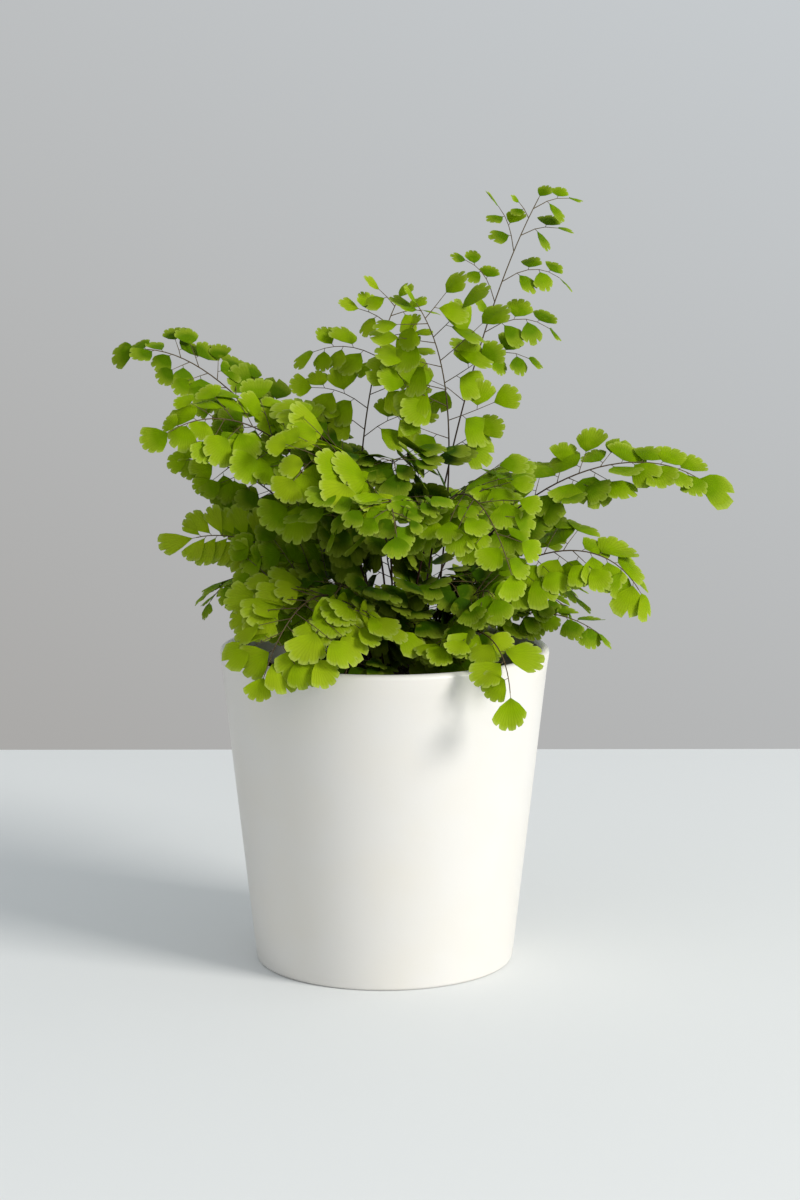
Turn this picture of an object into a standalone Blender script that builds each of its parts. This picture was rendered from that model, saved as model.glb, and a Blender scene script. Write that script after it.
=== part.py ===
# Potted maidenhair fern: a tapered round pot, its soil, the rhizome and one node for every frond.
# Origin at the middle of the pot's underside, +Z up, metres.

import math

import bmesh
import bpy
import numpy as np
from mathutils import Vector
from mathutils.bvhtree import BVHTree

MM = 0.001
GAP = 0.3 * MM                  # clearance between neighbouring pieces

POT_HEIGHT = 116 * MM
POT_RIM_RADIUS = 60 * MM
POT_BASE_RADIUS = 47.2 * MM
POT_WALL = 4 * MM
POT_FLOOR = 5 * MM
POT_LIP = 1.8 * MM              # roundness of the rim
POT_FOOT = 1.2 * MM             # roundness of the bottom edge
POT_SEGMENTS = 44

SOIL_LEVEL = 103 * MM
SOIL_CROWN = 1.2 * MM           # the soil stands a little higher in the middle
SOIL_SEGMENTS = 28

RHIZOME_CENTRE = (4 * MM, -1 * MM)
RHIZOME_HALF = (27 * MM, 23 * MM, 4.5 * MM)

STIPE_HALF = 0.62 * MM          # half the thickness of a stalk at its foot
TIP_HALF = 0.4 * MM             # and at its tip
BLADE_HALF = 0.42 * MM          # half the thickness of a leafy blade
ROOT_HALF = 0.8 * MM            # half the length of rachis that one pinna grows from
ROUTE_STEPS = 32
STEM_SPACE = 0.9 * MM           # clear space kept between two stalks
SPREAD_ROUNDS = 160

LEAF_GREEN = (0.235, 0.385, 0.035, 1)
POT_WHITE = (0.82, 0.80, 0.77, 1)
SOIL_BROWN = (0.030, 0.020, 0.014, 1)
RHIZOME_BROWN = (0.070, 0.040, 0.022, 1)

# One row for each frond, in millimetres. base, rise, fall and tip steer its stalk: it leaves the
# rhizome towards rise and reaches its tip from fall. Side shoots (pinnae) start after the share bare
# of its length, alternate from side to side and hold branch leaflets of width leaf, fewer towards the
# tip. roll turns the flat of the frond about its own stalk, in degrees. A frond with shoots instead
# lists them: (share of the length, side, leaflets, angle, size).
FRONDS = {
    "frond_tall": dict(
        base=(12, 4), rise=(16, 4, 160), fall=(34, 16, 236), tip=(56, 20, 277), leaf=10, roll=90,
        shoots=[(.54, 1, 2, 60, 1.3), (.62, -1, 4, 52, 1.1), (.64, 1, 1, 75, 1), (.68, -1, 5, 38, 1),
                (.72, 1, 1, 60, .8), (.745, 1, 5, 40, .8), (.79, -1, 5, 38, .95), (.86, 1, 4, 40, .75),
                (.9, -1, 3, 45, .85), (.945, 1, 2, 50, .6), (.97, -1, 3, 40, .8)]),
    "frond_left_mast": dict(
        base=(-9, 6), rise=(-12, 6, 165), fall=(-8, 8, 215), tip=(5, 10, 241), leaf=11.5, roll=75,
        shoots=[(.54, -1, 4, 50, 1), (.56, 1, 2, 60, .9), (.62, 1, 5, 56, 1), (.66, -1, 3, 50, 1),
                (.74, 1, 1, 80, .7), (.76, -1, 3, 55, 1), (.78, 1, 6, 72, .95), (.84, -1, 3, 50, .9),
                (.9, 1, 3, 68, .9), (.93, -1, 3, 55, .9), (.97, 1, 2, 60, .8)]),
    "frond_centre": dict(
        base=(17, -4), rise=(22, -4, 160), fall=(30, -8, 212), tip=(12, -14, 240), leaf=12.5, roll=215,
        shoots=[(.54, -1, 2, 65, 1), (.57, 1, 2, 60, 1), (.62, -1, 3, 70, 1.1), (.66, 1, 3, 60, 1.1),
                (.71, 1, 3, 60, 1.1), (.73, -1, 3, 65, 1.1), (.78, 1, 2, 60, 1.15),
                (.8, -1, 3, 60, 1.15), (.86, 1, 2, 60, 1.2), (.88, -1, 2, 60, 1.1), (.93, 1, 2, 60, 1),
                (.95, -1, 2, 60, 1), (.98, 1, 1, 50, .9)]),
    "frond_front_fan": dict(
        base=(2, -6), rise=(0, -12, 178), fall=(-14, -38, 204), tip=(-30, -54, 184),
        bare=.52, pinnae=11, branch=3, leaf=18, roll=-40),
    "frond_to_front_right": dict(
        base=(8, -8), rise=(12, -18, 172), fall=(28, -60, 202), tip=(42, -84, 156),
        bare=.38, pinnae=17, branch=5, leaf=15, roll=30),
    "frond_to_front": dict(
        base=(4, -8), rise=(2, -18, 165), fall=(0, -55, 192), tip=(4, -80, 168),
        bare=.38, pinnae=15, branch=5, leaf=14, roll=0),
    "frond_left_fan": dict(
        base=(-2, -6), rise=(-6, -10, 175), fall=(-45, -28, 215), tip=(-74, -35, 198),
        bare=.42, pinnae=16, branch=3, leaf=15.5, roll=-45),
    "frond_far_left": dict(
        base=(-4, 6), rise=(-12, 8, 160), fall=(-55, 10, 226), tip=(-89, 10, 223),
        bare=.42, pinnae=18, branch=3, leaf=13.5, roll=-40),
    "frond_left_olive": dict(
        base=(-6, 0), rise=(-10, 0, 150), fall=(-45, 0, 185), tip=(-70, 0, 184),
        bare=.42, pinnae=18, branch=3, leaf=13.5, roll=-72),
    "frond_left_comb": dict(
        base=(-6, -4), rise=(-12, -6, 140), fall=(-45, -14, 163), tip=(-67, -16, 158),
        bare=.46, pinnae=18, branch=1, leaf=11, roll=-78),
    "frond_left_low": dict(
        base=(-4, -8), rise=(-8, -12, 135), fall=(-32, -24, 156), tip=(-52, -26, 141),
        bare=.4, pinnae=13, branch=4, leaf=13.5, roll=-60),
    "frond_over_rim_left": dict(
        base=(0, -10), rise=(-4, -20, 138), fall=(-27, -48, 160), tip=(-41, -62, 117), leaf=14, roll=-16,
        shoots=[(.36, -1, 3, 75, .95), (.4, 1, 4, 98, 1), (.44, -1, 3, 80, 1), (.47, 1, 4, 98, 1.05),
                (.51, -1, 3, 75, 1), (.54, 1, 4, 94, 1.05), (.57, -1, 3, 70, 1), (.6, 1, 4, 90, 1.05),
                (.63, -1, 3, 62, 1), (.66, 1, 4, 84, 1.05), (.69, -1, 3, 58, 1), (.72, 1, 4, 78, 1.05),
                (.75, -1, 3, 55, 1), (.78, 1, 3, 70, 1.05), (.81, -1, 2, 50, 1), (.84, 1, 3, 60, 1),
                (.87, -1, 2, 50, 1), (.9, 1, 2, 50, 1), (.93, -1, 1, 50, 1), (.96, 1, 1, 50, .95)]),
    "frond_far_right": dict(
        base=(16, 0), rise=(24, 0, 165), fall=(80, 0, 196), tip=(112, 0, 178),
        bare=.34, pinnae=20, branch=2, leaf=14.5, roll=32),
    "frond_right_arch": dict(
        base=(14, -6), rise=(24, -8, 142), fall=(72, -14, 171), tip=(91, -16, 139),
        bare=.34, pinnae=18, branch=2, leaf=16, roll=42),
    "frond_right_behind": dict(
        base=(14, 6), rise=(24, 10, 125), fall=(52, 18, 142), tip=(67, 20, 127),
        bare=.45, pinnae=12, branch=3, leaf=11, roll=35),
    "frond_rim_right": dict(
        base=(16, 8), rise=(24, 10, 118), fall=(54, 14, 136), tip=(78, 12, 119),
        bare=.45, pinnae=10, branch=1, leaf=12, roll=35),
    "frond_over_rim_right": dict(
        base=(14, -10), rise=(20, -20, 128), fall=(41, -52, 140), tip=(43, -65, 111), leaf=14, roll=20,
        shoots=[(.3, -1, 3, 60, .9), (.36, -1, 3, 62, .9), (.44, -1, 3, 60, .9), (.52, -1, 2, 60, .9),
                (.6, -1, 1, 60, .95), (.66, 1, 1, 45, .8), (.73, -1, 1, 68, .8), (.8, 1, 1, 60, 1),
                (.86, -1, 1, 66, .85), (.94, -1, 1, 70, .8)]),
    "frond_right_front": dict(
        base=(16, -8), rise=(22, -14, 128), fall=(34, -30, 147), tip=(38, -38, 140),
        bare=.34, pinnae=13, branch=3, leaf=14, roll=45),
    "frond_right_low": dict(
        base=(14, -6), rise=(18, -14, 118), fall=(30, -28, 132), tip=(35, -34, 118),
        bare=.3, pinnae=11, branch=3, leaf=14, roll=45),
    "frond_small_front": dict(
        base=(-4, -14), rise=(-6, -24, 112), fall=(-12, -34, 122), tip=(-14, -44, 112),
        bare=.35, pinnae=9, branch=2, leaf=12, roll=0),
    "frond_middle": dict(
        base=(4, -4), rise=(2, -6, 165), fall=(2, -18, 198), tip=(4, -36, 184),
        bare=.3, pinnae=18, branch=4, leaf=16, roll=10),
    "frond_middle_left": dict(
        base=(-4, 0), rise=(-6, -2, 160), fall=(-16, -6, 196), tip=(-34, -10, 196),
        bare=.3, pinnae=18, branch=4, leaf=15, roll=-35),
    "frond_inner_left": dict(
        base=(-2, -2), rise=(-4, -8, 125), fall=(-12, -24, 152), tip=(-18, -38, 140),
        bare=.14, pinnae=18, branch=4, leaf=16, roll=-10),
    "frond_inner_right": dict(
        base=(8, 2), rise=(10, -4, 130), fall=(20, -16, 152), tip=(26, -32, 140),
        bare=.14, pinnae=18, branch=4, leaf=16, roll=10),
    "frond_inner": dict(
        base=(4, 4), rise=(4, 0, 130), fall=(2, -6, 158), tip=(0, -18, 158),
        bare=.14, pinnae=18, branch=4, leaf=16, roll=0),
    "frond_back_left": dict(
        base=(-4, 10), rise=(-8, 16, 150), fall=(-30, 50, 175), tip=(-46, 74, 150),
        bare=.34, pinnae=17, branch=5, leaf=14, roll=0),
    "frond_back": dict(
        base=(4, 12), rise=(4, 20, 160), fall=(4, 55, 180), tip=(4, 84, 150),
        bare=.34, pinnae=17, branch=5, leaf=14, roll=0),
    "frond_back_right": dict(
        base=(12, 10), rise=(18, 18, 150), fall=(40, 50, 175), tip=(60, 68, 150),
        bare=.34, pinnae=17, branch=5, leaf=14, roll=0),
    "frond_back_far_left": dict(
        base=(-8, 8), rise=(-14, 12, 135), fall=(-50, 40, 150), tip=(-66, 48, 125),
        bare=.34, pinnae=15, branch=4, leaf=13, roll=0),
    "frond_back_far_right": dict(
        base=(14, 8), rise=(22, 12, 130), fall=(54, 36, 150), tip=(72, 40, 128),
        bare=.34, pinnae=15, branch=4, leaf=13, roll=0),
    "frond_back_low_left": dict(
        base=(6, 12), rise=(6, 24, 118), fall=(-8, 52, 132), tip=(-14, 68, 110),
        bare=.35, pinnae=12, branch=3, leaf=12, roll=0),
    "frond_back_low_right": dict(
        base=(10, 12), rise=(14, 24, 118), fall=(28, 50, 130), tip=(36, 64, 110),
        bare=.35, pinnae=12, branch=3, leaf=12, roll=0),
}

UP = np.array([0.0, 0.0, 1.0])


def clear_scene():
    for obj in list(bpy.data.objects):
        bpy.data.objects.remove(obj, do_unlink=True)


def material(name, colour, roughness):
    made = bpy.data.materials.new(name)
    made.use_nodes = True
    shader = made.node_tree.nodes["Principled BSDF"]
    shader.inputs["Base Color"].default_value = colour
    shader.inputs["Roughness"].default_value = roughness
    shader.inputs["Metallic"].default_value = 0.0
    return made


def add_object(name, mesh, finish, home):
    obj = bpy.data.objects.new(name, mesh)
    obj.data.materials.append(finish)
    home.objects.link(obj)
    return obj


def arc(centre, radius, start, end, steps):
    """Points of an arc in the XZ plane, angles in degrees."""
    angles = [math.radians(start + (end - start) * i / steps) for i in range(steps + 1)]
    return [(centre[0] + radius * math.cos(a), centre[1] + radius * math.sin(a)) for a in angles]


def turned(name, profile, segments, finish, home):
    """A profile in the XZ plane, from the axis at the top down its outer side, turned about Z."""
    bm = bmesh.new()
    verts = [bm.verts.new((x, 0, z)) for x, z in profile]
    for a, b in zip(verts, verts[1:]):
        bm.edges.new((a, b))
    mesh = bpy.data.meshes.new(name)
    bm.to_mesh(mesh)
    bm.free()
    obj = add_object(name, mesh, finish, home)
    screw = obj.modifiers.new("turn", "SCREW")
    screw.steps = segments
    screw.render_steps = segments
    screw.use_merge_vertices = True
    screw.merge_threshold = 0.00001
    screw.use_smooth_shade = True
    return obj


def outer_radius(z):
    return POT_BASE_RADIUS + (POT_RIM_RADIUS - POT_BASE_RADIUS) * z / POT_HEIGHT


def inner_radius(z):
    return outer_radius(z) - POT_WALL


def make_pot(home):
    lip = arc((POT_RIM_RADIUS - POT_LIP, POT_HEIGHT - POT_LIP), POT_LIP, 90, 0, 3)
    inner_lip = arc((inner_radius(POT_HEIGHT) + POT_LIP, POT_HEIGHT - POT_LIP), POT_LIP, 180, 90, 3)
    foot = arc((POT_BASE_RADIUS - POT_FOOT, POT_FOOT), POT_FOOT, 0, -90, 3)
    inside = [(0, POT_FLOOR), (inner_radius(POT_FLOOR) - 3 * MM, POT_FLOOR),
              (inner_radius(POT_FLOOR + 3 * MM), POT_FLOOR + 3 * MM)]
    profile = inside + inner_lip + lip + foot + [(0, 0)]
    return turned("pot", profile, POT_SEGMENTS, material("white glaze", POT_WHITE, 0.35), home)


def make_soil(home):
    bottom = POT_FLOOR + GAP
    edge = inner_radius(SOIL_LEVEL) - GAP
    top = [(edge * i / 4, SOIL_LEVEL + SOIL_CROWN * (1 - (i / 4) ** 2)) for i in range(5)]
    low = POT_FLOOR + 3 * MM
    side = [(inner_radius(low) - 2 * GAP, low + GAP), (inner_radius(POT_FLOOR) - 3.5 * MM, bottom)]
    return turned("soil", top + side + [(0, bottom)], SOIL_SEGMENTS,
                  material("soil", SOIL_BROWN, 0.95), home)


def make_rhizome(home):
    """The flat mound that all the stalks rise from, lying on the soil."""
    floor = SOIL_LEVEL + SOIL_CROWN + GAP
    bm = bmesh.new()
    bmesh.ops.create_uvsphere(bm, u_segments=20, v_segments=12, radius=1)
    bmesh.ops.scale(bm, vec=RHIZOME_HALF, verts=bm.verts)
    bmesh.ops.translate(bm, vec=(*RHIZOME_CENTRE, floor), verts=bm.verts)
    cut = bmesh.ops.bisect_plane(bm, geom=bm.verts[:] + bm.edges[:] + bm.faces[:],
                                 plane_co=(0, 0, floor), plane_no=(0, 0, 1), clear_inner=True)
    rim = [item for item in cut["geom_cut"] if isinstance(item, bmesh.types.BMEdge)]
    bmesh.ops.contextual_create(bm, geom=rim)
    bmesh.ops.recalc_face_normals(bm, faces=bm.faces)
    mesh = bpy.data.meshes.new("rhizome")
    bm.to_mesh(mesh)
    bm.free()
    return add_object("rhizome", mesh, material("rhizome", RHIZOME_BROWN, 0.9), home)


def ground(x, y):
    """Height of the rhizome's top at a place."""
    across = ((x - RHIZOME_CENTRE[0]) / RHIZOME_HALF[0]) ** 2 + ((y - RHIZOME_CENTRE[1]) / RHIZOME_HALF[1]) ** 2
    return SOIL_LEVEL + SOIL_CROWN + GAP + RHIZOME_HALF[2] * math.sqrt(max(0.0, 1 - across))


def unit(v):
    return v / max(np.linalg.norm(v), 1e-9)


def turn(v, axis, degrees):
    a = math.radians(degrees)
    axis = unit(axis)
    return v * math.cos(a) + np.cross(axis, v) * math.sin(a) + axis * np.dot(axis, v) * (1 - math.cos(a))


def first_route(frond):
    """Points along a frond's stalk, on a cubic curve from its base to its tip."""
    x, y = (c * MM for c in frond["base"])
    a = np.array([x, y, ground(x, y) + 2 * GAP])
    b, c, d = (np.array(frond[key]) * MM for key in ("rise", "fall", "tip"))
    t = np.linspace(0, 1, ROUTE_STEPS + 1)[:, None]
    return a * (1 - t) ** 3 + 3 * b * t * (1 - t) ** 2 + 3 * c * t * t * (1 - t) + d * t ** 3


def nearest_between(a0, a1, b0, b1):
    """For segments a and b: how far along each the two come closest, and the step from a to b there."""
    d1, d2, r = a1 - a0, b1 - b0, a0 - b0
    aa, bb, ab = (d1 * d1).sum(-1), (d2 * d2).sum(-1), (d1 * d2).sum(-1)
    ar, br = (d1 * r).sum(-1), (d2 * r).sum(-1)
    s = np.clip((ab * br - ar * bb) / np.maximum(aa * bb - ab * ab, 1e-16), 0, 1)
    t = np.clip((ab * s + br) / bb, 0, 1)
    s = np.clip((ab * t - ar) / aa, 0, 1)
    return s, t, (b0 + d2 * t[..., None]) - (a0 + d1 * s[..., None])


def spread(routes):
    """Moves stalks apart where they would touch, a little at a time, and keeps each one smooth."""
    routes = np.array(routes)
    count, points, _ = routes.shape
    owner = np.repeat(np.arange(count), points - 1)
    place = np.tile(np.arange(points - 1), count)
    one, two = np.nonzero(owner[:, None] < owner[None, :])
    near = np.exp(-0.5 * (np.subtract.outer(np.arange(points), np.arange(points)) / 2.5) ** 2)
    for _ in range(SPREAD_ROUNDS):
        start, end = routes[:, :-1].reshape(-1, 3), routes[:, 1:].reshape(-1, 3)
        middle = (start + end) / 2
        close = np.linalg.norm(middle[one] - middle[two], axis=1) < 16 * MM
        i, j = one[close], two[close]
        s, t, away = nearest_between(start[i], end[i], start[j], end[j])
        gap = np.linalg.norm(away, axis=1)
        need = 2 * 1.42 * STIPE_HALF + STEM_SPACE
        hit = gap < need
        if not hit.any():
            break
        push = np.zeros_like(routes)
        for a, b, step, wide in zip(i[hit], j[hit], away[hit], gap[hit]):
            move = (step / wide if wide > 1e-6 else np.array([1.0, 0, 0])) * (need - wide) * 0.3
            for who, sign in ((a, -1), (b, 1)):
                falloff = near[place[who]][:, None]
                field = push[owner[who]]
                wanted = sign * move * falloff
                push[owner[who]] = np.where(np.abs(wanted) > np.abs(field), wanted, field)
        routes = routes + push
        for route in routes:
            route[0, 2] = ground(route[0, 0], route[0, 1]) + 2 * GAP
    return list(routes)


def at(route, t):
    place = t * (len(route) - 1)
    i = min(int(place), len(route) - 2)
    return route[i] + (route[i + 1] - route[i]) * (place - i)


def heading(route, t):
    return unit(at(route, min(t + 0.02, 1)) - at(route, max(t - 0.02, 0)))


def flat_of(route, t, roll):
    """The stalk's direction, and the sideways and upward directions of the frond's flat there."""
    run = route[-1] - route[0]
    level = unit(np.cross(np.array([run[0], run[1], 0.0]), UP))
    along = heading(route, t)
    side = unit(level - along * np.dot(level, along))
    side = turn(side, along, roll)
    return along, side, np.cross(side, along)


def shoots_of(frond):
    """(share of the length, side, leaflets, angle, size) of each pinna, from the stalk upwards."""
    if "shoots" in frond:
        return frond["shoots"]
    found = []
    side = frond.get("first", 1)
    for i in range(frond["pinnae"]):
        share = (i / frond["pinnae"]) ** 0.9
        count = max(1, round(frond["branch"] * (1 - share) ** 0.8 + (0.5 if frond["branch"] > 1 else 0)))
        t = frond["bare"] + (1 - frond["bare"]) * share
        found.append((t, side, count, 64 - 14 * share, 1 - 0.42 * share ** 1.5))
        side = -side
    return found


def blade_outline(frond, shoot, room):
    """Stations along one pinna: (distance from the stalk, half width)."""
    _, _, count, _, rel = shoot
    size = frond["leaf"] * rel * MM
    if count == 1:
        foot = 0.14 * frond["leaf"] * MM
        half = min(0.45 * size, room)
        return [(foot + 0.12 * size, 0.12 * size), (foot + 0.5 * size, half), (foot + 0.8 * size, 0.7 * half)]
    length = 0.45 * size + sum(0.5 * size * (1 - 0.25 * j / count) for j in range(count - 1))
    half = min(0.62 * size, room)
    return [(0.35 * size, 0.4 * half), (0.35 * size + 0.5 * length, half), (length + 0.55 * size, 0.4 * half)]


def blade_sections(route, frond, shoot, room, tilt=0, shrink=1.0, grow=0.0, from_stalk=True):
    """Corners of each station of one pinna, in the order of the stalk's own face."""
    t, side, _, angle, _ = shoot
    along, across, up = flat_of(route, t, frond["roll"])
    out = turn(turn(along, up, side * angle), along, tilt * side)
    width = unit(along - out * np.dot(along, out))
    face = np.cross(width, out)
    face = face if np.dot(face, up) > 0 else -face
    foot = at(route, t)
    sections = []
    stations = blade_outline(frond, shoot, room)
    if from_stalk:
        stations = [(-grow, ROOT_HALF)] + stations
    for distance, half in stations:
        middle = foot + out * (distance * shrink + grow)
        wide = width * (max(half * math.sqrt(shrink), BLADE_HALF) + grow)
        thick = face * (BLADE_HALF + grow)
        sections.append([middle + wide + thick, middle - wide + thick,
                         middle - wide - thick, middle + wide - thick])
    return sections


def probe(sections):
    """A search tree over a strip of stations, to find what it would run into."""
    points = [Vector(corner) for section in sections for corner in section]
    faces = [(0, 1, 2, 3)]
    for i in range(len(sections) - 1):
        a, b = 4 * i, 4 * i + 4
        faces += [(a + k, a + (k + 1) % 4, b + (k + 1) % 4, b + k) for k in range(4)]
    last = 4 * len(sections) - 4
    faces.append((last, last + 1, last + 2, last + 3))
    return BVHTree.FromPolygons(points, faces)


def ring_of(route, t, roll, half):
    _, side, up = flat_of(route, t, roll)
    middle = at(route, t)
    return [middle + side * half + up * half, middle - side * half + up * half,
            middle - side * half - up * half, middle + side * half - up * half]


def move_face(face, corners_before, corners_after):
    """Takes each corner of a face from its old place to the new place with the same number."""
    moved = [None] * 4
    for vert in face.verts:
        k = min(range(4), key=lambda n: (vert.co - Vector(corners_before[n])).length)
        moved[k] = vert
    for vert, corner in zip(moved, corners_after):
        vert.co = Vector(corner)
    return moved


def extrude_to(bm, face, before, after):
    """Extrudes a four-sided face from its corners before to its corners after."""
    made = bmesh.ops.extrude_discrete_faces(bm, faces=[face])["faces"][0]
    return made, move_face(made, before, after)


def ring_shares(route, frond):
    """(share of the length, number of the pinna that starts at the next ring, or None)."""
    length = np.linalg.norm(np.diff(route, axis=0), axis=1).sum()
    half = ROOT_HALF / length
    shoots = shoots_of(frond)
    first = shoots[0][0] - half
    rings = [(first * i / 4, None) for i in range(4)]
    for number, shoot in enumerate(shoots):
        t = min(shoot[0], 1 - 2.2 * half)
        low = max(t - half, rings[-1][0] + 0.2 * half)
        rings.append((low, number))
        rings.append((low + 2 * half, None))
    if rings[-1][0] < 1 - half:
        rings.append((1.0, None))
    return rings


def half_at(t):
    return STIPE_HALF + (TIP_HALF - STIPE_HALF) * t


def grow_stalk(route, frond):
    """The stalk as a square rod, extruded ring by ring; also the side faces that pinnae start from."""
    rings = ring_shares(route, frond)
    corners = [ring_of(route, t, frond["roll"], half_at(t)) for t, _ in rings]
    bm = bmesh.new()
    bmesh.ops.create_cube(bm, size=1)
    bm.verts.ensure_lookup_table()
    cube = [(0.5, 0.5), (-0.5, 0.5), (-0.5, -0.5), (0.5, -0.5)]
    lower = [next(v for v in bm.verts if v.co.z < 0 and (v.co.x, v.co.y) == place) for place in cube]
    upper = [next(v for v in bm.verts if v.co.z > 0 and (v.co.x, v.co.y) == place) for place in cube]
    roots = {}
    for verts, places in ((lower, corners[0]), (upper, corners[1])):
        for vert, corner in zip(verts, places):
            vert.co = Vector(corner)
    top = next(f for f in bm.faces if set(f.verts) == set(upper))
    previous = upper
    for n in range(2, len(rings)):
        top, ring = extrude_to(bm, top, corners[n - 1], corners[n])
        number = rings[n - 1][1]
        if number is not None:
            side = shoots_of(frond)[number][1]
            pick = (1, 2) if side > 0 else (0, 3)
            edge = {previous[pick[0]], previous[pick[1]], ring[pick[0]], ring[pick[1]]}
            roots[number] = next(f for f in ring[pick[0]].link_faces if set(f.verts) == edge)
            side_corners = [ring[pick[0]], previous[pick[0]], previous[pick[1]], ring[pick[1]]]
            roots[number] = (roots[number], [np.array(v.co) for v in side_corners])
        previous = ring
    return bm, roots


def rooms(route, frond):
    """Half the space that each pinna has to its neighbours on the same side."""
    shoots = shoots_of(frond)
    length = np.linalg.norm(np.diff(route, axis=0), axis=1).sum()
    found = []
    for i, shoot in enumerate(shoots):
        same = [abs(other[0] - shoot[0]) for j, other in enumerate(shoots) if j != i and other[1] == shoot[1]]
        space = min(same) * length * math.sin(math.radians(shoot[3])) if same else 30 * MM
        found.append(0.46 * space)
    return found


def make_fronds(home, neighbours):
    green = LEAF_GREEN
    names = list(FRONDS)
    routes = dict(zip(names, spread([first_route(FRONDS[name]) for name in names])))
    grown = {name: grow_stalk(routes[name], FRONDS[name]) for name in names}
    stalks = {name: BVHTree.FromBMesh(grown[name][0]) for name in names}
    blades = []
    left_out = 0
    for name in names:
        route, frond = routes[name], FRONDS[name]
        bm, roots = grown[name]
        others = [tree for other, tree in stalks.items() if other != name]
        space = rooms(route, frond)
        for number, shoot in enumerate(shoots_of(frond)):
            chosen = None
            for shrink in (1.0, 0.8, 0.6, 0.4):
                for tilt in (-8, 12, -28, 32, -50):
                    tree = probe(blade_sections(route, frond, shoot, space[number], tilt, shrink, GAP))
                    blocked = any(tree.overlap(other) for other in neighbours + others + blades)
                    if not blocked and not own_stalk_hit(tree, route, frond, shoot):
                        chosen = (tilt, shrink)
                        break
                if chosen:
                    break
            if not chosen:
                left_out += 1
                continue
            sections = blade_sections(route, frond, shoot, space[number], *chosen, from_stalk=False)
            face, before = roots[number]
            for section in sections:
                face, _ = extrude_to(bm, face, before, section)
                before = section
            blades.append(probe(blade_sections(route, frond, shoot, space[number], *chosen)))
        mesh = bpy.data.meshes.new(name)
        bmesh.ops.triangulate(bm, faces=bm.faces)
        bmesh.ops.recalc_face_normals(bm, faces=bm.faces)
        bm.to_mesh(mesh)
        bm.free()
        add_object(name, mesh, material(name + " leaf", green, 0.45), home)
    print("pinnae left out:", left_out)


def own_stalk_hit(tree, route, frond, shoot):
    """Whether a pinna would run back into its own frond's stalk, away from its foot."""
    t = shoot[0]
    length = np.linalg.norm(np.diff(route, axis=0), axis=1).sum()
    for low, high in ((0.0, t - 5 * MM / length), (t + 5 * MM / length, 1.0)):
        if high - low < 0.02:
            continue
        sections = [ring_of(route, low + (high - low) * i / 12, frond["roll"], half_at(low)) for i in range(13)]
        if tree.overlap(probe(sections)):
            return True
    return False


def tree_of(obj):
    graph = bpy.context.evaluated_depsgraph_get()
    return BVHTree.FromObject(obj, graph)


def main():
    clear_scene()
    home = bpy.data.collections.new("potted_maidenhair_fern")
    bpy.context.scene.collection.children.link(home)
    pot = make_pot(home)
    soil = make_soil(home)
    rhizome = make_rhizome(home)
    bpy.context.view_layer.update()
    make_fronds(home, [tree_of(pot), tree_of(soil), tree_of(rhizome)])


main()
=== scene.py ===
import math

import bmesh
import bpy
import numpy as np
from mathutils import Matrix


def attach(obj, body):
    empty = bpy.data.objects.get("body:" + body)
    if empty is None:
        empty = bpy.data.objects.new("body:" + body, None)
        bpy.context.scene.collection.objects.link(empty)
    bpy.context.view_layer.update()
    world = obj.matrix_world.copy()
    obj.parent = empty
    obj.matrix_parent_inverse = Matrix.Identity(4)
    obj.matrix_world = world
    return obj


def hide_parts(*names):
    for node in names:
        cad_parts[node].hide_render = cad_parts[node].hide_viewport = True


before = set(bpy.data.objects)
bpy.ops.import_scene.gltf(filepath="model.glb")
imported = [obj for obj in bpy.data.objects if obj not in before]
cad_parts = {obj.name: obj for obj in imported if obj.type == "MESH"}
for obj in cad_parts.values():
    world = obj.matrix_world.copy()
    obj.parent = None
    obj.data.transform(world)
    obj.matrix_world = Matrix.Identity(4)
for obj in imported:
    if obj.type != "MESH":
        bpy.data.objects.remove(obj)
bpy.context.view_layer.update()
mm = 0.001
up = np.array((0.0, 0.0, 1.0))
fullTurn = 2 * math.pi


class Signal:  # a number socket that can be used in sums
    def __init__(self, board, socket):
        self.board = board
        self.socket = socket

    def maths(self, operation, first, second=None):
        node = self.board.nodes.new("ShaderNodeMath")
        node.operation = operation
        for place, value in enumerate((first, second)):
            if isinstance(value, Signal):
                self.board.links.new(value.socket, node.inputs[place])
            elif value is not None:
                node.inputs[place].default_value = value
        return Signal(self.board, node.outputs[0])

    def __add__(self, other):
        return self.maths("ADD", self, other)

    def __radd__(self, other):
        return self.maths("ADD", other, self)

    def __sub__(self, other):
        return self.maths("SUBTRACT", self, other)

    def __rsub__(self, other):
        return self.maths("SUBTRACT", other, self)

    def __mul__(self, other):
        return self.maths("MULTIPLY", self, other)

    def __pow__(self, other):
        return self.maths("POWER", self, other)

    def clamped(self):
        return self.maths("MINIMUM", self.maths("MAXIMUM", self, 0.0), 1.0)

    def past(self, start, steepness):  # 0 up to start, then a climb to 1
        return ((self - start) * steepness).clamped()


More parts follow.
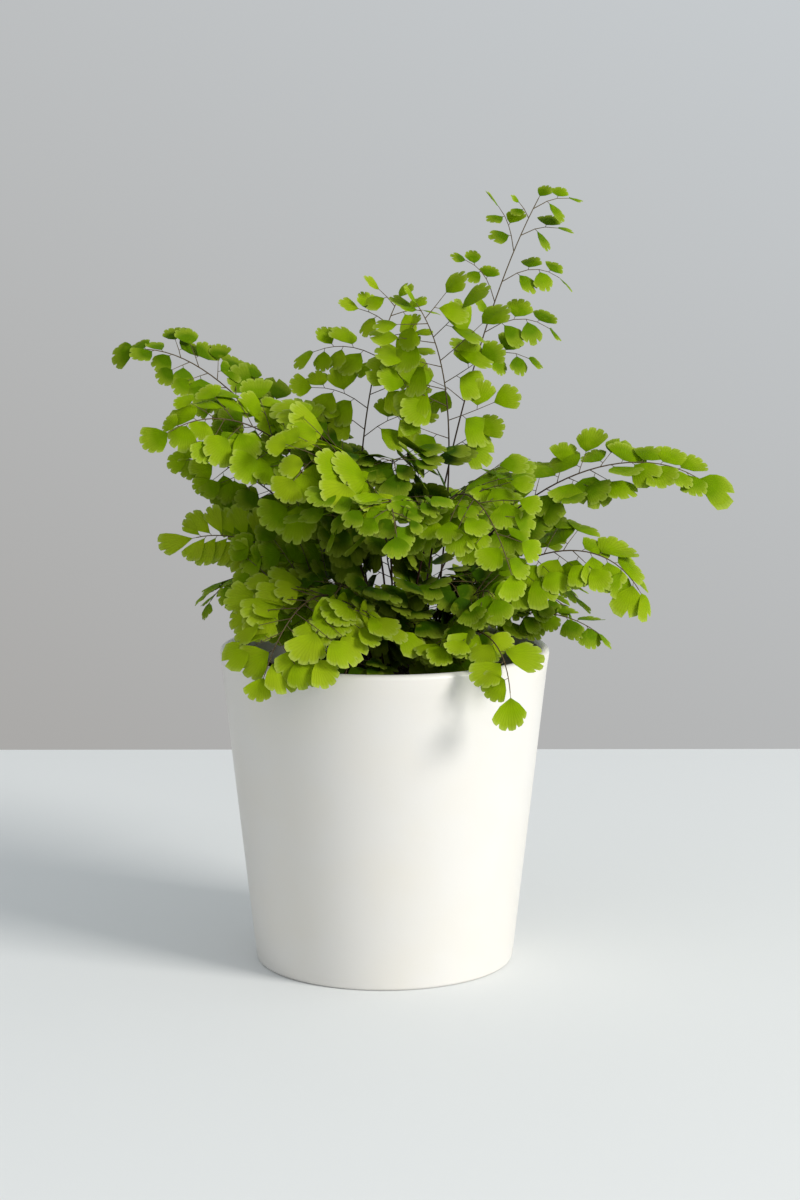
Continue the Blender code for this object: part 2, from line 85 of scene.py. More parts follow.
class Board:  # one node tree, with one way to add a node
    def __init__(self, tree):
        self.nodes = tree.nodes
        self.links = tree.links

    def add(self, kind, settings=None, values=None):
        node = self.nodes.new(kind)
        for name, value in (settings or {}).items():
            setattr(node, name, value)
        for name, value in (values or {}).items():
            socket = node.inputs[name]
            source = value.socket if isinstance(value, Signal) else value
            if isinstance(source, bpy.types.NodeSocket):
                self.links.new(source, socket)
            else:
                socket.default_value = source
        return node

    def signal(self, node, output=0):
        return Signal(self, node.outputs[output])

    def blend(self, factor, first, second):
        node = self.add("ShaderNodeMix", {"data_type": "RGBA"}, {"Factor": factor})
        for place, colour in ((6, first), (7, second)):
            if isinstance(colour, bpy.types.NodeSocket):
                self.links.new(colour, node.inputs[place])
            else:
                node.inputs[place].default_value = (*colour, 1)
        return node.outputs[2]

    def ramp(self, factor, stops):
        node = self.add("ShaderNodeValToRGB", values={"Fac": factor})
        elements = node.color_ramp.elements
        for spare in list(elements)[1:]:
            elements.remove(spare)
        for place, (position, colour) in enumerate(stops):
            stop = elements[0] if place == 0 else elements.new(position)
            stop.position = position
            stop.color = (*colour, 1)
        return node.outputs[0]

    def noise(self, scale, detail):  # uneven, about scale ripples to a metre
        where = self.add("ShaderNodeTexCoord").outputs["Object"]
        return self.signal(self.add("ShaderNodeTexNoise", values={"Vector": where, "Scale": scale,
                                                                  "Detail": detail}))

    def bump(self, strength, distance, height):
        return self.add("ShaderNodeBump", values={"Strength": strength, "Distance": distance,
                                                  "Height": height}).outputs[0]

    def mark(self, name):  # a number stored on the mesh
        return self.signal(self.add("ShaderNodeAttribute", {"attribute_name": name}), 2)

    def show(self, shader):
        out = self.add("ShaderNodeOutputMaterial")
        self.links.new(shader.outputs[0], out.inputs[0])


def newMaterial(name):
    finish = bpy.data.materials.new(name)
    finish.use_nodes = True
    finish.node_tree.nodes.clear()
    return finish, Board(finish.node_tree)


def newTree(name, inputs):
    tree = bpy.data.node_groups.new(name, "GeometryNodeTree")
    face = tree.interface
    face.new_socket("Geometry", in_out="INPUT", socket_type="NodeSocketGeometry")
    for label, kind, value in inputs:
        socket = face.new_socket(label, in_out="INPUT", socket_type="NodeSocket" + kind)
        socket.default_value = value
    face.new_socket("Geometry", in_out="OUTPUT", socket_type="NodeSocketGeometry")
    board = Board(tree)
    return tree, board, board.add("NodeGroupInput")


def endTree(board, geometry, finish):  # plain geometry in one material, as the tree's result
    real = board.add("GeometryNodeRealizeInstances", values={"Geometry": geometry})
    done = board.add("GeometryNodeSetMaterial", values={"Geometry": real.outputs[0], "Material": finish})
    board.links.new(done.outputs[0], board.add("NodeGroupOutput").inputs[0])


def runTree(obj, tree, settings, name):  # the tree's result as a plain mesh object
    modifier = obj.modifiers.new("build", "NODES")
    modifier.node_group = tree
    for item in tree.interface.items_tree:
        if item.in_out == "INPUT" and item.name in settings:
            modifier[item.identifier] = settings[item.name]
    bpy.context.view_layer.update()
    graph = bpy.context.evaluated_depsgraph_get()
    mesh = bpy.data.meshes.new_from_object(obj.evaluated_get(graph), preserve_all_data_layers=True,
                                           depsgraph=graph)
    mesh.name = name
    made = place(name, mesh)
    bpy.data.objects.remove(obj, do_unlink=True)
    return made


def place(name, mesh, finish=None):
    obj = bpy.data.objects.new(name, mesh)
    bpy.context.scene.collection.objects.link(obj)
    if finish:
        obj.data.materials.append(finish)
    return obj


def meshFrom(bm, name):
    mesh = bpy.data.meshes.new(name)
    bm.to_mesh(mesh)
    bm.free()
    return mesh


def spotsOf(mesh):
    spots = np.zeros(len(mesh.vertices) * 3)
    mesh.vertices.foreach_get("co", spots)
    return spots.reshape(-1, 3)


def moveSpots(mesh, spots):
    mesh.vertices.foreach_set("co", spots.ravel())
    mesh.update()


def settle(piece, nodes):  # hands a finished piece to the frame
    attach(piece, "root")
    if nodes:
        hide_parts(*nodes)


# Metres, degrees, watts. The wall's tone runs from wallLow, low and left, to wall, high and right: painted
# light, the wall brighter where the window lamp at the right falls on it.
studio = dict(
    cameraAt=(0, -1.0163, 0.2960), tilt=80.88, swing=-0.32, lens=85, sensor=36,
    wall=(0.585, 0.617, 0.640), wallLow=(0.405, 0.398, 0.388), wallRise=2.2, wallAcross=1.3,
    wallMiddle=0.62,
    tableBack=0.36, tableFront=-0.7, tableHalf=0.8, tableThick=0.03, tableColour=(0.742, 0.757, 0.757),
    lights=[dict(name="window", at=(2.10, -1.425, 1.365), aim=(0, 0, 0.12), size=1.0, power=73,
                 colour=(1.0, 0.975, 0.93)),
            dict(name="bounce", at=(-0.9, -1.4, 1.3), aim=(0, 0, 0.1), size=1.6, power=1,
                 colour=(0.93, 0.97, 1.0))])


def addLight(name, at, aim, size, power, colour):
    lamp = bpy.data.lights.new(name, "AREA")
    lamp.shape = "SQUARE"
    lamp.size = size
    lamp.energy = power
    lamp.color = colour
    obj = place(name, lamp)
    obj.location = at
    toward = np.array(aim) - np.array(at)
    level = math.hypot(toward[0], toward[1])
    obj.rotation_euler = (math.atan2(level, -toward[2]), 0, math.atan2(toward[1], toward[0]) - math.pi / 2)


def makeRoom(scene):  # the wall is the world's own colour
    world = bpy.data.worlds.new("room")
    scene.world = world
    world.use_nodes = True
    board = Board(world.node_tree)
    board.nodes.clear()
    view = board.add("ShaderNodeTexCoord").outputs["Generated"]
    parts = board.add("ShaderNodeSeparateXYZ", values={"Vector": view})
    across, height = board.signal(parts, 0), board.signal(parts, 2)
    # painted light: the backdrop brightens upward and to the right, towards the window lamp
    share = height * studio["wallRise"] + across * studio["wallAcross"] + studio["wallMiddle"]
    tone = board.blend(share.clamped(), studio["wallLow"], studio["wall"])
    back = board.add("ShaderNodeBackground", values={"Color": tone, "Strength": 1.0})
    board.links.new(back.outputs[0], board.add("ShaderNodeOutputWorld").inputs[0])


def makeTable():
    back, front, thick = studio["tableBack"], studio["tableFront"], studio["tableThick"]
    bm = bmesh.new()
    bmesh.ops.create_cube(bm, size=1)
    bmesh.ops.scale(bm, vec=(2 * studio["tableHalf"], back - front, thick), verts=bm.verts)
    bmesh.ops.translate(bm, vec=(0, (back + front) / 2, -thick / 2), verts=bm.verts)
    finish, board = newMaterial("pale table")
    board.show(board.add("ShaderNodeBsdfPrincipled", values={
        "Base Color": (*studio["tableColour"], 1), "Roughness": 0.6, "Specular IOR Level": 0.05}))
    place("tableTop", meshFrom(bm, "tableTop"), finish)


def makeStudio():
    scene = bpy.context.scene
    lens = bpy.data.cameras.new("camera")
    lens.lens = studio["lens"]
    lens.sensor_width = studio["sensor"]
    camera = place("camera", lens)
    camera.location = studio["cameraAt"]
    camera.rotation_euler = (math.radians(studio["tilt"]), 0, math.radians(studio["swing"]))
    scene.camera = camera
    scene.view_settings.view_transform = "Standard"
    makeRoom(scene)
    for light in studio["lights"]:
        addLight(**light)
    makeTable()
    print("studio ready")


pot = dict(height=116 * mm, rimRadius=60 * mm, baseRadius=47.2 * mm, wall=4 * mm, floor=5 * mm,
           lip=1.8 * mm, foot=1.2 * mm, segments=128, colour=(0.735, 0.717, 0.683),
           warmer=(1.0, 0.985, 0.95))  # warmer scales the colour in faint cloudy patches


def outerRadius(z):
    return pot["baseRadius"] + (pot["rimRadius"] - pot["baseRadius"]) * z / pot["height"]


def innerRadius(z):
    return outerRadius(z) - pot["wall"]


def arc(centre, radius, start, end, steps):
    angles = [math.radians(start + (end - start) * i / steps) for i in range(steps + 1)]
    return [(centre[0] + radius * math.cos(a), centre[1] + radius * math.sin(a)) for a in angles]


def turned(name, profile, segments):  # a profile turned about Z, as a plain mesh object
    bm = bmesh.new()
    verts = [bm.verts.new((x, 0, z)) for x, z in profile]
    for a, b in zip(verts, verts[1:]):
        bm.edges.new((a, b))
    guide = place(name + "Guide", meshFrom(bm, name))
    screw = guide.modifiers.new("turn", "SCREW")
    screw.steps = segments
    screw.render_steps = segments
    screw.use_merge_vertices = True
    screw.merge_threshold = 0.01 * mm
    screw.use_smooth_shade = True
    graph = bpy.context.evaluated_depsgraph_get()
    made = place(name, bpy.data.meshes.new_from_object(guide.evaluated_get(graph)))
    bpy.data.objects.remove(guide, do_unlink=True)
    return made


def glazeFinish():
    finish, board = newMaterial("white satin glaze")
    cloud, peel = board.noise(38.0, 3.0), board.noise(420.0, 2.0)
    warm = tuple(part * share for part, share in zip(pot["colour"], pot["warmer"]))
    board.show(board.add("ShaderNodeBsdfPrincipled", values={
        "Base Color": board.blend((cloud - 0.4) * 2.5, pot["colour"], warm),
        "Roughness": 0.34 + cloud * 0.10, "Normal": board.bump(0.05, 0.4 * mm, peel),
        "Coat Weight": 0.15, "Coat Roughness": 0.25}))
    return finish


def makePot():
    height, lip, foot, floor = pot["height"], pot["lip"], pot["foot"], pot["floor"]
    bend = 3 * mm  # where the floor turns up into the wall
    profile = [(0, floor), (innerRadius(floor) - bend, floor), (innerRadius(floor) - mm, floor + mm),
               (innerRadius(floor + bend), floor + bend)]
    profile += [(innerRadius(z), z) for z in np.linspace(floor + 12 * mm, height - 8 * mm, 6)]
    profile += arc((innerRadius(height) + lip, height - lip), lip, 180, 90, 6)
    profile += arc((pot["rimRadius"] - lip, height - lip), lip, 90, 0, 6)
    profile += [(outerRadius(z), z) for z in np.linspace(height - 8 * mm, 8 * mm, 8)]
    profile += arc((pot["baseRadius"] - foot, foot), foot, 0, -90, 5)
    profile += [(0, 0)]
    piece = turned("potShell", profile, pot["segments"])
    piece.data.materials.append(glazeFinish())
    settle(piece, ["pot"])
    print("pot ready")


soil = dict(level=103 * mm, crown=1.2 * mm, rough=1.1 * mm, rings=44, spokes=110, gap=0.35 * mm,
            crumbs=1500, crumbSize=(0.35 * mm, 1.15 * mm), seed=11,
            damp=(0.0035, 0.0026, 0.0020), dry=(0.010, 0.0065, 0.0042), fleck=(0.045, 0.029, 0.018))
rhizome = dict(centre=(4 * mm, -1 * mm), half=(27 * mm, 23 * mm, 4.5 * mm), lump=1.3 * mm, underside=0.3,
               chaff=900, chaffSize=(0.6, 1.1), seed=5,
               dark=(0.012, 0.007, 0.004), brown=(0.048, 0.026, 0.013), scale=(0.095, 0.052, 0.024))


def ripple(x, y, seed):  # smooth uneven ground, from a few waves
    rng = np.random.default_rng(seed)
    waves, slowest = 4, 150
    total = np.zeros_like(x)
    for octave in range(5):
        pace = slowest * 1.9 ** octave
        for _ in range(waves):
            angle = rng.uniform(0, fullTurn)
            phase = rng.uniform(0, fullTurn)
            total = total + np.sin((x * math.cos(angle) + y * math.sin(angle)) * pace + phase) / 1.6 ** octave
    return total / waves


def soilFinish():
    finish, board = newMaterial("potting soil")
    grain, patch = board.noise(900.0, 5.0), board.noise(160.0, 3.0)
    dark = board.blend((patch - 0.35) * 2.2, soil["damp"], soil["dry"])
    board.show(board.add("ShaderNodeBsdfPrincipled", values={
        "Base Color": board.blend(grain.past(0.62, 6.0), dark, soil["fleck"]), "Roughness": 0.95,
        "Normal": board.bump(0.9, 0.6 * mm, grain)}))
    return finish


def rhizomeFinish():
    finish, board = newMaterial("scaly rhizome")
    grain, patch = board.noise(700.0, 4.0), board.noise(120.0, 2.0)
    shade = board.blend(patch.past(0.35, 2.5), rhizome["dark"], rhizome["brown"])
    board.show(board.add("ShaderNodeBsdfPrincipled", values={
        "Base Color": board.blend(grain.past(0.55, 4.0) * 0.5, shade, rhizome["scale"]), "Roughness": 0.75,
        "Normal": board.bump(0.7, 0.5 * mm, grain)}))
    return finish


def crumbShapes():  # a few lumps of soil, each with a few dozen faces
    rng = np.random.default_rng(soil["seed"])
    home = bpy.data.collections.new("crumbShapes")
    for number in range(5):
        bm = bmesh.new()
        bmesh.ops.create_icosphere(bm, subdivisions=2, radius=1)
        stretch = rng.uniform(0.6, 1.25, 3)
        for vert in bm.verts:
            vert.co *= rng.uniform(0.72, 1.12)
            vert.co.x *= stretch[0]
            vert.co.y *= stretch[1]
            vert.co.z *= stretch[2]
        name = "crumb%d" % number
        home.objects.link(bpy.data.objects.new(name, meshFrom(bm, name)))
    return home


def chaffShapes():  # lance-shaped scales, and one stub of an old stalk
    home = bpy.data.collections.new("chaffShapes")
    steps, corners = 4, 4
    scales = [(3.4, 0.50, 0.8), (2.6, 0.62, 0.4), (3.0, 0.42, -0.5), (2.2, 0.70, 1.0)]
    stubs = [(5.0, 0.75, 0.2)]
    for number, (long, wide, bend) in enumerate(scales + stubs):
        stub = number >= len(scales)
        bm = bmesh.new()
        rings = []
        for step in range(steps + 1):
            share = step / steps
            half = wide * mm * (1 - 0.35 * share if stub else math.sin(math.pi * (0.18 + 0.74 * share)))
            thick = half if stub else 0.09 * mm
            across, height = bend * share ** 2 * mm, long * share * mm
            rings.append([bm.verts.new((across + thick * math.cos(a), half * math.sin(a), height))
                          for a in (fullTurn * corner / corners for corner in range(corners))])
        for low, high in zip(rings, rings[1:]):
            for side in range(corners):
                other = (side + 1) % corners
                bm.faces.new((low[side], low[other], high[other], high[side]))
        bm.faces.new(rings[0][::-1])
        bm.faces.new(rings[-1])
        bmesh.ops.recalc_face_normals(bm, faces=bm.faces)
        name = "chaff%d" % number
        home.objects.link(bpy.data.objects.new(name, meshFrom(bm, name)))
    return home


def scatterTree(name, shapes, finish, upward, leanLeast, leanMost):  # shapes strewn over what faces up
    tree, board, given = newTree(name, [("Density", "Float", 150000.0), ("Smallest", "Float", 0.001),
                                        ("Largest", "Float", 0.002), ("Seed", "Int", 3)])
    normal = board.add("GeometryNodeInputNormal")
    split = board.add("ShaderNodeSeparateXYZ", values={"Vector": normal.outputs[0]})
    top = board.add("FunctionNodeCompare", {"operation": "GREATER_THAN"},
                    {"A": split.outputs[2], "B": upward})
    points = board.add("GeometryNodeDistributePointsOnFaces", {"distribute_method": "RANDOM"},
                       {"Mesh": given.outputs["Geometry"], "Selection": top.outputs[0],
                        "Density": given.outputs["Density"], "Seed": given.outputs["Seed"]})
    lean = board.add("FunctionNodeRandomValue", {"data_type": "FLOAT_VECTOR"},
                     {"Min": leanLeast, "Max": leanMost, "Seed": given.outputs["Seed"]})
    spin = board.add("FunctionNodeEulerToRotation", values={"Euler": lean.outputs[0]})
    size = board.add("FunctionNodeRandomValue", {"data_type": "FLOAT"})
    board.links.new(given.outputs["Smallest"], size.inputs[2])
    board.links.new(given.outputs["Largest"], size.inputs[3])
    pool = board.add("GeometryNodeCollectionInfo", values={"Collection": shapes, "Separate Children": True,
                                                           "Reset Children": True})
    copies = board.add("GeometryNodeInstanceOnPoints", values={
        "Points": points.outputs["Points"], "Instance": pool.outputs[0], "Pick Instance": True,
        "Rotation": spin.outputs[0], "Scale": size.outputs[1]})
    both = board.add("GeometryNodeJoinGeometry")
    board.links.new(copies.outputs[0], both.inputs[0])
    board.links.new(given.outputs["Geometry"], both.inputs[0])
    endTree(board, both.outputs[0], finish)
    return tree


def makeSoil():
    top, low = soil["level"], pot["floor"] + 0.6 * mm
    edge = innerRadius(top) - soil["gap"]
    bottomEdge = innerRadius(low) - pot["wall"]
    bm = bmesh.new()
    bmesh.ops.create_cone(bm, cap_ends=True, cap_tris=False, segments=soil["spokes"], radius1=edge * 0.84,
                          radius2=edge, depth=1.0)
    lid = max(bm.faces, key=lambda face: face.calc_center_median().z)
    rim = list(lid.verts)
    for vert in bm.verts:
        angle = math.atan2(vert.co.y, vert.co.x)
        radius = edge if vert in rim else bottomEdge
        vert.co = (radius * math.cos(angle), radius * math.sin(angle), top if vert in rim else low)
    for _ in range(1, soil["rings"]):
        bmesh.ops.inset_region(bm, faces=[lid], thickness=edge / soil["rings"] * 0.985)
    bmesh.ops.triangulate(bm, faces=[lid])
    mesh = meshFrom(bm, "soilBed")
    spots = spotsOf(mesh)
    radius = np.hypot(spots[:, 0], spots[:, 1])
    lift = soil["crown"] * (1 - (radius / edge) ** 2) + soil["rough"] * ripple(spots[:, 0], spots[:, 1], 2)
    raised = (spots[:, 2] > top - mm) & (radius <= edge * 0.995)
    spots[:, 2] += np.where(raised, lift, 0)
    moveSpots(mesh, spots)
    crumbPatch = scatterTree("scatterCrumbs", crumbShapes(), soilFinish(), 0.6, (0, 0, 0),
                             (6.28, 6.28, 6.28))
    smallest, largest = soil["crumbSize"]
    settings = {"Density": soil["crumbs"] / (math.pi * edge ** 2), "Smallest": smallest, "Largest": largest,
                "Seed": soil["seed"]}
    piece = runTree(place("soilGuide", mesh), crumbPatch, settings, "soilBed")
    settle(piece, ["soil"])
    print("soil ready")


def makeRhizome():
    half, (cx, cy) = rhizome["half"], rhizome["centre"]
    bm = bmesh.new()
    bmesh.ops.create_uvsphere(bm, u_segments=72, v_segments=40, radius=1)
    bmesh.ops.scale(bm, vec=half, verts=bm.verts)
    mesh = meshFrom(bm, "rhizomeGuide")
    spots = spotsOf(mesh)
    high = np.clip(spots[:, 2] / half[2], 0, 1)
    spots[:, 2] = np.where(spots[:, 2] > 0, spots[:, 2], spots[:, 2] * rhizome["underside"])
    spots[:, 2] += rhizome["lump"] * high * ripple(spots[:, 0] * 1.6, spots[:, 1] * 1.6, rhizome["seed"])
    spots += (cx, cy, soil["level"] + soil["crown"])
    moveSpots(mesh, spots)
    chaffPatch = scatterTree("scatterChaff", chaffShapes(), rhizomeFinish(), 0.15, (0.5, -0.4, 0.0),
                             (1.35, 0.4, 6.28))
    smallest, largest = rhizome["chaffSize"]
    settings = {"Density": rhizome["chaff"] / (math.pi * half[0] * half[1]), "Smallest": smallest,
                "Largest": largest, "Seed": rhizome["seed"]}
    piece = runTree(place("rhizomeGuide", mesh), chaffPatch, settings, "rhizomeMound")
    settle(piece, ["rhizome"])
    print("rhizome ready")


# Millimetres and degrees. base, rise, fall and tip steer the stalk. Shoots start after the share bare of
# its length, alternate in side and hold branch leaflets of width leaf, or shoots lists them one by one.
# roll turns the frond's flat about its stalk, tone is how yellow and light its leaves are, partly painted
# light and shade, nod how far leaflets droop, level how far they turn flat to the ground and seek how far
# they turn to the window.
frondPlan = {
    "frond_tall": dict(
        base=(12, 4), rise=(16, 4, 160), fall=(34, 16, 236), tip=(56, 20, 277),
        leaf=10, roll=90, level=0.7, tone=0.35, sag=0.13, sweep=-0.12, stem=0.7, nod=6, seek=0.15,
        crowd=0.47,
        shoots=[(0.54, 1, 2, 60, 1.3), (0.62, -1, 4, 52, 1.1), (0.64, 1, 1, 75, 1.0),
                (0.68, -1, 5, 38, 1.0), (0.72, 1, 1, 60, 0.8), (0.745, 1, 5, 40, 0.8),
                (0.79, -1, 5, 38, 0.95), (0.86, 1, 4, 40, 0.75), (0.90, -1, 3, 45, 0.85),
                (0.945, 1, 2, 50, 0.6), (0.97, -1, 3, 40, 0.8)]),
    # frond_left_mast's high tone is painted light, lightening leaves that face away from the lamp.
    "frond_left_mast": dict(
        base=(-9, 6), rise=(-12, 6, 165), fall=(-8, 8, 215), tip=(5, 10, 241),
        leaf=11.5, roll=75, level=0.5, tone=0.72, sag=0.10, sweep=-0.05, stem=0.5, seek=0.35, crowd=0.34,
        topLevel=0.85,
        shoots=[(0.54, -1, 4, 50, 1.0), (0.56, 1, 2, 60, 0.9), (0.62, 1, 5, 56, 1.0),
                (0.66, -1, 3, 50, 1.0), (0.74, 1, 1, 80, 0.7), (0.76, -1, 3, 55, 1.0),
                (0.78, 1, 6, 72, 0.95), (0.84, -1, 3, 50, 0.9), (0.90, 1, 3, 68, 0.9),
                (0.93, -1, 3, 55, 0.9), (0.97, 1, 2, 60, 0.8)]),
    "frond_centre": dict(
        base=(17, -4), rise=(22, -4, 160), fall=(30, -8, 212), tip=(12, -14, 240),
        leaf=12.5, roll=215, level=0.35, tone=0.6, sag=0.02, stem=0.4, nod=0, seek=0.35, topLevel=0.75,
        shoots=[(0.54, -1, 2, 65, 1.0), (0.57, 1, 2, 60, 1.0), (0.62, -1, 3, 70, 1.1),
                (0.66, 1, 3, 60, 1.1), (0.71, 1, 3, 60, 1.1), (0.73, -1, 3, 65, 1.1),
                (0.78, 1, 2, 60, 1.15), (0.80, -1, 3, 60, 1.15), (0.86, 1, 2, 60, 1.2),
                (0.88, -1, 2, 60, 1.1), (0.93, 1, 2, 60, 1.0), (0.95, -1, 2, 60, 1.0),
                (0.98, 1, 1, 50, 0.9)]),
    "frond_front_fan": dict(
        base=(2, -6), rise=(0, -12, 178), fall=(-14, -38, 204), tip=(-30, -54, 184),
        bare=0.52, pinnae=11, branch=3, leaf=18, roll=-40, tone=0.8, nod=25, kinds=(0, 8, 4, 1),
        seek=0.65),
    "frond_to_front_right": dict(
        base=(8, -8), rise=(12, -18, 172), fall=(28, -60, 202), tip=(42, -84, 156),
        bare=0.38, pinnae=17, branch=5, leaf=15, roll=30, tone=0.5, nod=22, seek=0.5),
    "frond_to_front": dict(
        base=(4, -8), rise=(2, -18, 165), fall=(0, -55, 192), tip=(4, -80, 168),
        bare=0.38, pinnae=15, branch=5, leaf=14, roll=0, tone=0.28, nod=22, seek=0.5),
    "frond_left_fan": dict(
        base=(-2, -6), rise=(-6, -10, 175), fall=(-45, -28, 215), tip=(-74, -35, 198),
        bare=0.42, pinnae=16, branch=3, leaf=15.5, roll=-45, tone=0.58, nod=15, kinds=(0, 8, 4, 1, 5),
        seek=0.6),
    "frond_far_left": dict(
        base=(-4, 6), rise=(-12, 8, 160), fall=(-55, 10, 226), tip=(-89, 10, 223),
        bare=0.42, pinnae=18, branch=3, leaf=13.5, roll=-40, tone=0.24, stem=0.35, sag=0.08, endLeaf=0.9,
        seek=0.4),
    "frond_left_olive": dict(
        base=(-6, 0), rise=(-10, 0, 150), fall=(-45, 0, 185), tip=(-70, 0, 184),
        bare=0.42, pinnae=18, branch=3, leaf=13.5, roll=-72, tone=0.5, stem=0.3, seek=0.5),
    "frond_left_comb": dict(
        base=(-6, -4), rise=(-12, -6, 140), fall=(-45, -14, 163), tip=(-67, -16, 158),
        bare=0.46, pinnae=18, branch=1, leaf=11, roll=-78, tone=0.85, flutter=6, nod=4, kinds=(6, 7),
        endLeaf=0.9, seek=0.3, crowd=0.42),
    "frond_left_low": dict(
        base=(-4, -8), rise=(-8, -12, 135), fall=(-32, -24, 156), tip=(-52, -26, 141),
        bare=0.40, pinnae=13, branch=4, leaf=13.5, roll=-60, tone=0.42, seek=0.45),
    "frond_over_rim_left": dict(
        base=(0, -10), rise=(-4, -20, 138), fall=(-27, -48, 160), tip=(-41, -62, 117),
        leaf=14, roll=-16, tone=0.85, sag=0.04, sweep=0.0, nod=12, stem=0.35, seek=0.7, crowd=0.38,
        shoots=[(0.36, -1, 3, 75, 0.95), (0.40, 1, 4, 98, 1.0), (0.44, -1, 3, 80, 1.0),
                (0.47, 1, 4, 98, 1.05), (0.51, -1, 3, 75, 1.0), (0.54, 1, 4, 94, 1.05),
                (0.57, -1, 3, 70, 1.0), (0.60, 1, 4, 90, 1.05), (0.63, -1, 3, 62, 1.0),
                (0.66, 1, 4, 84, 1.05), (0.69, -1, 3, 58, 1.0), (0.72, 1, 4, 78, 1.05),
                (0.75, -1, 3, 55, 1.0), (0.78, 1, 3, 70, 1.05), (0.81, -1, 2, 50, 1.0),
                (0.84, 1, 3, 60, 1.0), (0.87, -1, 2, 50, 1.0), (0.90, 1, 2, 50, 1.0),
                (0.93, -1, 1, 50, 1.0), (0.96, 1, 1, 50, 0.95)]),
    "frond_far_right": dict(
        base=(16, 0), rise=(24, 0, 165), fall=(80, 0, 196), tip=(112, 0, 178),
        bare=0.34, pinnae=20, branch=2, leaf=14.5, roll=32, tone=0.45, sag=0.06, stem=0.2, endLeaf=1.15,
        seek=0.5, taper=0.15, nod=-6),
    "frond_right_arch": dict(
        base=(14, -6), rise=(24, -8, 142), fall=(72, -14, 171), tip=(91, -16, 139),
        bare=0.34, pinnae=18, branch=2, leaf=16, roll=42, tone=0.6, nod=18, stem=0.25, seek=0.5,
        taper=0.25),
    "frond_right_behind": dict(
        base=(14, 6), rise=(24, 10, 125), fall=(52, 18, 142), tip=(67, 20, 127),
        bare=0.45, pinnae=12, branch=3, leaf=11, roll=35, tone=0.3, level=0.5, seek=0.1),
    "frond_rim_right": dict(
        base=(16, 8), rise=(24, 10, 118), fall=(54, 14, 136), tip=(78, 12, 119),
        bare=0.45, pinnae=10, branch=1, leaf=12, roll=35, tone=0.4, level=0.75, seek=0.1, taper=0.25),
    "frond_over_rim_right": dict(
        base=(14, -10), rise=(20, -20, 128), fall=(41, -52, 140), tip=(43, -65, 111),
        leaf=14, roll=20, tone=0.8, nod=16, seek=0.7, endLeaf=0.95, kinds=(0, 1, 5),
        shoots=[(0.30, -1, 3, 60, 0.9), (0.36, -1, 3, 62, 0.9), (0.44, -1, 3, 60, 0.9),
                (0.52, -1, 2, 60, 0.9), (0.60, -1, 1, 60, 0.95), (0.66, 1, 1, 45, 0.8),
                (0.73, -1, 1, 68, 0.8), (0.80, 1, 1, 60, 1.0), (0.86, -1, 1, 66, 0.85),
                (0.94, -1, 1, 70, 0.8)]),
    "frond_right_front": dict(
        base=(16, -8), rise=(22, -14, 128), fall=(34, -30, 147), tip=(38, -38, 140),
        bare=0.34, pinnae=13, branch=3, leaf=14, roll=45, tone=0.3, nod=20, seek=0.5),
    "frond_right_low": dict(
        base=(14, -6), rise=(18, -14, 118), fall=(30, -28, 132), tip=(35, -34, 118),
        bare=0.3, pinnae=11, branch=3, leaf=14, roll=45, tone=0.12, nod=15, seek=0.5),
    # frond_small_front to frond_inner have low tones: painted shade, deep inside the plant and low by the
    # soil.
    "frond_small_front": dict(
        base=(-4, -14), rise=(-6, -24, 112), fall=(-12, -34, 122), tip=(-14, -44, 112),
        bare=0.35, pinnae=9, branch=2, leaf=12, roll=0, tone=0.02, nod=20, seek=0.6),
    "frond_middle": dict(
        base=(4, -4), rise=(2, -6, 165), fall=(2, -18, 198), tip=(4, -36, 184),
        bare=0.3, pinnae=18, branch=4, leaf=16, roll=10, tone=0.02, nod=25, seek=0.65),
    "frond_middle_left": dict(
        base=(-4, 0), rise=(-6, -2, 160), fall=(-16, -6, 196), tip=(-34, -10, 196),
        bare=0.3, pinnae=18, branch=4, leaf=15, roll=-35, tone=0.12, nod=15, seek=0.65),
    "frond_inner_left": dict(
        base=(-2, -2), rise=(-4, -8, 125), fall=(-12, -24, 152), tip=(-18, -38, 140),
        bare=0.14, pinnae=18, branch=4, leaf=16, roll=-10, tone=0.0, nod=20, seek=0.7),
    "frond_inner_right": dict(
        base=(8, 2), rise=(10, -4, 130), fall=(20, -16, 152), tip=(26, -32, 140),
        bare=0.14, pinnae=18, branch=4, leaf=16, roll=10, tone=0.0, nod=20, seek=0.7),
    "frond_inner": dict(
        base=(4, 4), rise=(4, 0, 130), fall=(2, -6, 158), tip=(0, -18, 158),
        bare=0.14, pinnae=18, branch=4, leaf=16, roll=0, tone=-0.05, nod=20, seek=0.7),
    "frond_back_left": dict(
        base=(-4, 10), rise=(-8, 16, 150), fall=(-30, 50, 175), tip=(-46, 74, 150),
        bare=0.34, pinnae=17, branch=5, leaf=14, roll=0, tone=0.4, seek=0.1),
    "frond_back": dict(
        base=(4, 12), rise=(4, 20, 160), fall=(4, 55, 180), tip=(4, 84, 150),
        bare=0.34, pinnae=17, branch=5, leaf=14, roll=0, tone=0.4, seek=0.1),
    "frond_back_right": dict(
        base=(12, 10), rise=(18, 18, 150), fall=(40, 50, 175), tip=(60, 68, 150),
        bare=0.34, pinnae=17, branch=5, leaf=14, roll=0, tone=0.4, seek=0.1),
    "frond_back_far_left": dict(
        base=(-8, 8), rise=(-14, 12, 135), fall=(-50, 40, 150), tip=(-66, 48, 125),
        bare=0.34, pinnae=15, branch=4, leaf=13, roll=0, tone=0.4, seek=0.1),
    "frond_back_far_right": dict(
        base=(14, 8), rise=(22, 12, 130), fall=(54, 36, 150), tip=(72, 40, 128),
        bare=0.34, pinnae=15, branch=4, leaf=13, roll=0, tone=0.4, seek=0.1),
    "frond_back_low_left": dict(
